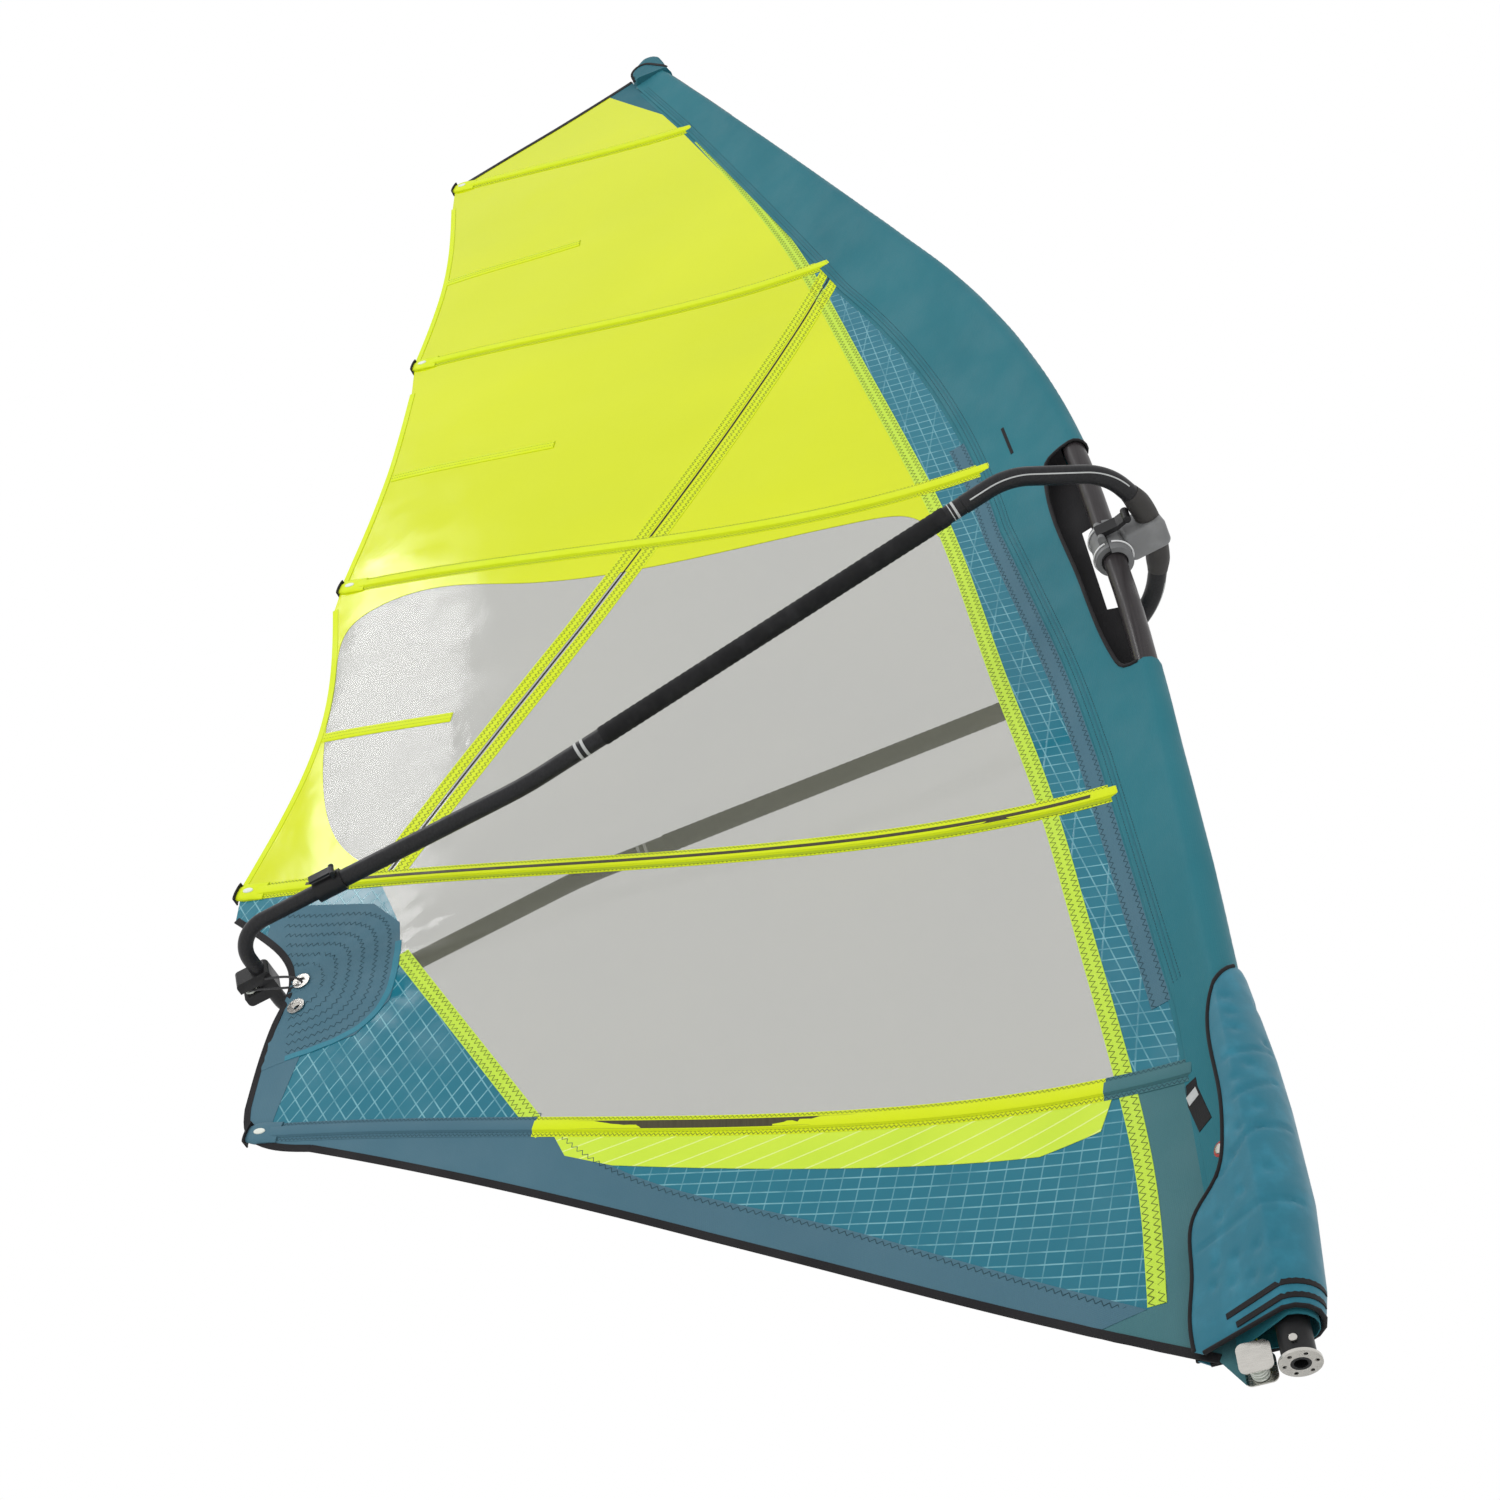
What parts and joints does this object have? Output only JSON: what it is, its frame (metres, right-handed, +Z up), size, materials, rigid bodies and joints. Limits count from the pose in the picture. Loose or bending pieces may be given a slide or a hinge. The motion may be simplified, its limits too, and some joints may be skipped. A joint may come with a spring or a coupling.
{
  "type": "windsurf sail rig",
  "caption": "Windsurf sail rig: bent carbon mast in a luff sleeve, cambered battened sail with clear window and padded tack, wishbone boom with clamp head and telescopic tail.",
  "frame": {"origin": "centre of the mast base's bottom face, at the mouth of the foot-pin bore", "axes": "+Z up the lower mast, +X forward away from the sail, +Y to port; the clew lies toward -X"},
  "size_m": [1.663, 0.4526, 4.064],
  "materials": {
    "film_yellow": "translucent gloss",
    "film_clear": "clear gloss",
    "xply_teal": "laminate with threads",
    "cloth_teal": "woven",
    "cloth_blue": "woven",
    "tape_yellow": "woven tape",
    "binding_black": "woven tape",
    "foam_teal": "moulded foam",
    "webbing_lime": "webbing",
    "carbon": "satin",
    "batten_glass": "pultruded rod",
    "plastic_black": "satin",
    "plastic_grey": "satin",
    "plastic_pale": "satin",
    "rubber_black": "matt",
    "grip_foam": "matt foam",
    "stainless": "polished",
    "alloy": "anodised",
    "rope_black": "braided"
  },
  "bodies": {
    "rig": {"base_cup": "plastic_black", "base_flange": "stainless", "batten_1": "batten_glass", "batten_2": "batten_glass", "batten_3": "batten_glass", "batten_4": "batten_glass", "batten_5": "batten_glass", "batten_ends": "plastic_pale", "batten_pocket_1": "tape_yellow", "batten_pocket_2": "tape_yellow", "batten_pocket_3": "tape_yellow", "batten_pocket_4": "tape_yellow", "batten_pocket_5": "tape_yellow", "clew_panel": "xply_teal", "clew_patch": "cloth_blue", "edge_bindings": "binding_black", "extension_collar": "plastic_black", "film_head": "film_yellow", "film_middle": "film_yellow", "film_upper": "film_yellow", "foot_film": "film_yellow", "foot_panel": "xply_teal", "grommets": "stainless", "head_cap": "cloth_blue", "head_panel": "cloth_teal", "load_strap": "tape_yellow", "luff_panel": "xply_teal", "mast_extension": "alloy", "mast_lower": "carbon", "mast_upper": "carbon", "mini_battens": "tape_yellow", "seam_tapes": "tape_yellow", "sleeve_lower": "cloth_teal", "sleeve_upper": "cloth_teal", "tack_block": "stainless", "tack_fairing": "foam_teal", "tack_panel": "cloth_teal", "tack_webbing": "webbing_lime", "tip_plug": "plastic_black", "window_lower": "film_clear", "window_upper": "film_clear"},
    "boom": {"boom_head": "plastic_grey", "mast_liner": "rubber_black", "jaw_pin": "stainless", "front_bow": "carbon", "arm_port": "carbon", "arm_starboard": "carbon", "grips": "grip_foam", "arm_collars": "plastic_black"},
    "jaw": {"clamp_jaw": "plastic_grey"},
    "lever": {"clamp_lever": "plastic_black"},
    "boom_tail": {"tail_loop": "carbon", "tail_fitting": "plastic_black", "outhaul_line": "rope_black"},
    "tail_pulley": {"tail_sheave": "plastic_pale"},
    "clip_port": {"tail_clip_port": "plastic_black"},
    "clip_starboard": {"tail_clip_starboard": "plastic_black"},
    "tack_roller_1": {"tack_sheave_1": "plastic_pale"},
    "tack_roller_2": {"tack_sheave_2": "plastic_pale"},
    "pin_button": {"base_button": "stainless"}
  },
  "joints": [
    {"name": "boom_height", "type": "slide", "parent": "rig", "child": "boom", "axis": [-0.0698, 0, 0.9976], "range_m": [-0.06, 0.02], "deforming": ["outhaul_line"]},
    {"name": "jaw_open", "type": "hinge", "parent": "boom", "child": "jaw", "pos_m": [-0.01642, 0.038, 1.56], "axis": [0.0698, 0, -0.9976], "range_deg": [0, 45]},
    {"name": "lever_open", "type": "hinge", "parent": "jaw", "child": "lever", "pos_m": [-0.0244, -0.038, 1.55944], "axis": [0.0698, 0, -0.9976], "range_deg": [0, 110]},
    {"name": "tail_extend", "type": "slide", "parent": "boom", "child": "boom_tail", "axis": [-0.965, 0, -0.2622], "range_m": [0, 0.24], "deforming": ["outhaul_line"]},
    {"name": "tail_pulley_spin", "type": "hinge", "parent": "boom_tail", "child": "tail_pulley", "pos_m": [-1.51895, 0, 1.15177], "axis": [0, 1, 0], "continuous": true},
    {"name": "clip_port_open", "type": "hinge", "parent": "boom", "child": "clip_port", "pos_m": [-1.30568, 0.133, 1.20972], "axis": [0.2622, 0, -0.965], "range_deg": [0, 75]},
    {"name": "clip_starboard_open", "type": "hinge", "parent": "boom", "child": "clip_starboard", "pos_m": [-1.30568, -0.133, 1.20972], "axis": [-0.2622, 0, 0.965], "range_deg": [0, 75]},
    {"name": "tack_roller_1_spin", "type": "hinge", "parent": "rig", "child": "tack_roller_1", "pos_m": [-0.049, 0.0073, 0.016], "axis": [0, 1, 0], "continuous": true},
    {"name": "tack_roller_2_spin", "type": "hinge", "parent": "rig", "child": "tack_roller_2", "pos_m": [-0.049, 0.0187, 0.016], "axis": [0, 1, 0], "continuous": true},
    {"name": "pin_button_pull", "type": "slide", "parent": "rig", "child": "pin_button", "axis": [0, -1, 0], "range_m": [0, 0.004], "stiffness_N_per_m": 600, "springref_m": -0.002}
  ]
}
